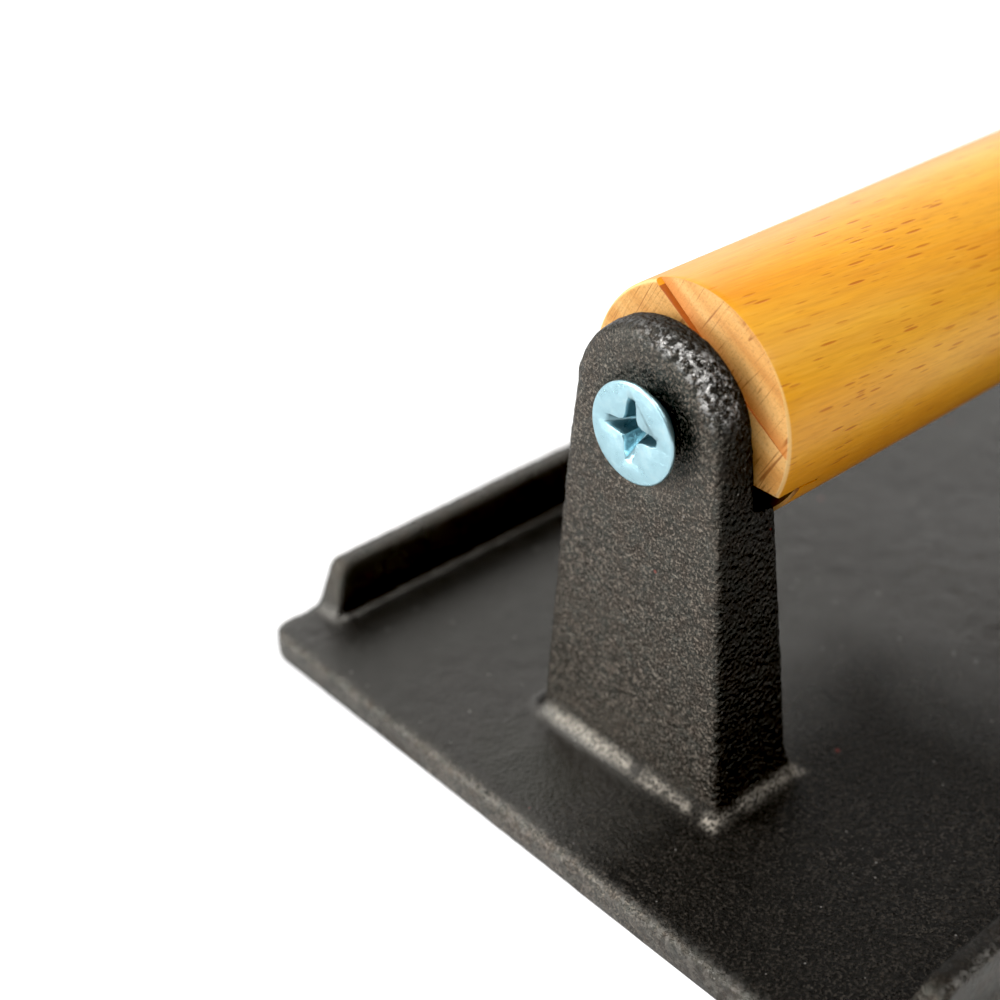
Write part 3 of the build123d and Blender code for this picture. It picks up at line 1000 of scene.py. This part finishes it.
# ---------------------------------------------------------------- light
# Radiance by azimuth in degrees (behind, left of, before and right of the object as
# the camera sees it), at each sine of elevation in SKY_STOPS
SKY_STOPS = (0.0, 0.342, 0.616, 0.788, 1.0)
SKY = {
    48.4: (2.1, 1.70, 1.65, 0.0, 0.9),
    138.4: (0.9, 0.7, 2.0, 1.9, 0.9),
    228.4: (0.03, 0.03, 0.03, 0.15, 0.9),
    318.4: (0.03, 0.03, 0.03, 0.15, 0.9),
}
RAMP_SCALE = 4          # keeps the radiances under 1 inside the colour ramps
CARD_AZIMUTH = 18       # black card, high behind the object and to the right
CARD_STRENGTH = 0.97
BACKDROP = 1.3          # plain white that the camera sees

# name, direction from the object, width and height in m, power in W
AREA_LIGHTS = [
    ("softbox_left", (-0.53, 0.60, 0.60), (0.26, 0.20), 1.6),
    ("softbox_top", (-0.12, 0.45, 0.88), (0.40, 0.30), 0.95),
    ("softbox_over", (0.05, -0.35, 0.93), (0.36, 0.26), 3.0),
    ("strip_front", (-0.33, -0.66, 0.68), (0.12, 0.09), 1.0),
    ("strip_right", (0.52, -0.56, 0.64), (0.14, 0.10), 0.55),
    ("side_left", (-0.88, 0.40, 0.26), (0.50, 0.35), 4.4),
]
LIGHT_TARGET = Vector((-0.05, 0, 0.04))
LIGHT_DISTANCE = 0.9


def build_sky():
    world = bpy.data.worlds.new("studio")
    scene.world = world
    sky = Graph(world)
    x, y, elevation = sky.split(sky.node("TexCoord").outputs["Generated"])
    azimuth = sky.math("ARCTAN2", y, x)
    sectors = []
    for centre, profile in SKY.items():
        facing = sky.math("COSINE", sky.sub(azimuth, math.radians(centre)))
        facing = sky.math("MAXIMUM", facing, 0.0)
        stops = [(stop, (value / RAMP_SCALE,) * 3) for stop, value in zip(SKY_STOPS, profile)]
        radiance = sky.mul(sky.ramp(elevation, stops), RAMP_SCALE)
        sectors.append(sky.mul(sky.mul(facing, facing), radiance))
    total = sky.add(*sectors)
    aside = sky.math("COSINE", sky.sub(azimuth, math.radians(CARD_AZIMUTH)))
    card = sky.mul(sky.ease(aside, span=(0.88, 0.965)), sky.ease(elevation, span=(0.56, 0.63)))
    total = sky.mul(total, sky.sub(1.0, sky.mul(card, CARD_STRENGTH)))
    # the sectors only light the object; the camera sees the backdrop
    seen = sky.node("LightPath").outputs["Is Camera Ray"]
    strength = sky.add(sky.mul(total, sky.sub(1.0, seen)), sky.mul(seen, BACKDROP))
    background = sky.node("Background", {"Strength": strength})
    sky.node("OutputWorld", {"Surface": background.outputs[0]})


def add_area_light(name, direction, size, power):
    direction = Vector(direction).normalized()
    light = bpy.data.lights.new(name, "AREA")
    light.shape = "RECTANGLE"
    light.size, light.size_y = size
    light.energy = power
    obj = link(bpy.data.objects.new(name, light))
    obj.location = LIGHT_TARGET + direction * LIGHT_DISTANCE
    obj.rotation_euler = (-direction).to_track_quat("-Z", "Y").to_euler()


build_sky()
for entry in AREA_LIGHTS:
    add_area_light(*entry)

# ---------------------------------------------------------------- camera
CAMERA_MM = (-208.5232, -112.4244, 151.71575)
CAMERA_YAW = math.radians(48.44)        # from +X towards +Y
CAMERA_PITCH = math.radians(33.15)      # downwards
CAMERA_ROLL = math.radians(-0.37)


def build_camera():
    place = np.array(CAMERA_MM) / 1000.0
    cos_yaw, sin_yaw = math.cos(CAMERA_YAW), math.sin(CAMERA_YAW)
    cos_pitch, sin_pitch = math.cos(CAMERA_PITCH), math.sin(CAMERA_PITCH)
    cos_roll, sin_roll = math.cos(CAMERA_ROLL), math.sin(CAMERA_ROLL)
    forward = np.array([cos_yaw * cos_pitch, sin_yaw * cos_pitch, -sin_pitch])
    level = np.array([sin_yaw, -cos_yaw, 0.0])
    upright = np.cross(level, forward)
    right = level * cos_roll + upright * sin_roll
    up = -level * sin_roll + upright * cos_roll

    data = bpy.data.cameras.new("camera")
    data.sensor_width = 36.0
    data.lens = 62.02
    data.clip_start = 0.005
    camera = link(bpy.data.objects.new("camera", data))
    rows = [(right[k], up[k], -forward[k], place[k]) for k in range(3)]
    camera.matrix_world = Matrix((*rows, (0, 0, 0, 1)))
    focus = link(bpy.data.objects.new("focus", None))
    focus.location = (-0.083, -0.008, 0.045)
    data.dof.use_dof = True
    data.dof.focus_object = focus
    data.dof.aperture_fstop = 16.0
    scene.camera = camera


build_camera()

view = scene.view_settings
view.view_transform = "Standard"
view.look = "None"
view.exposure = 0.0
view.use_curve_mapping = True
view.curve_mapping.black_level = (0.006, 0.006, 0.006)
view.curve_mapping.update()
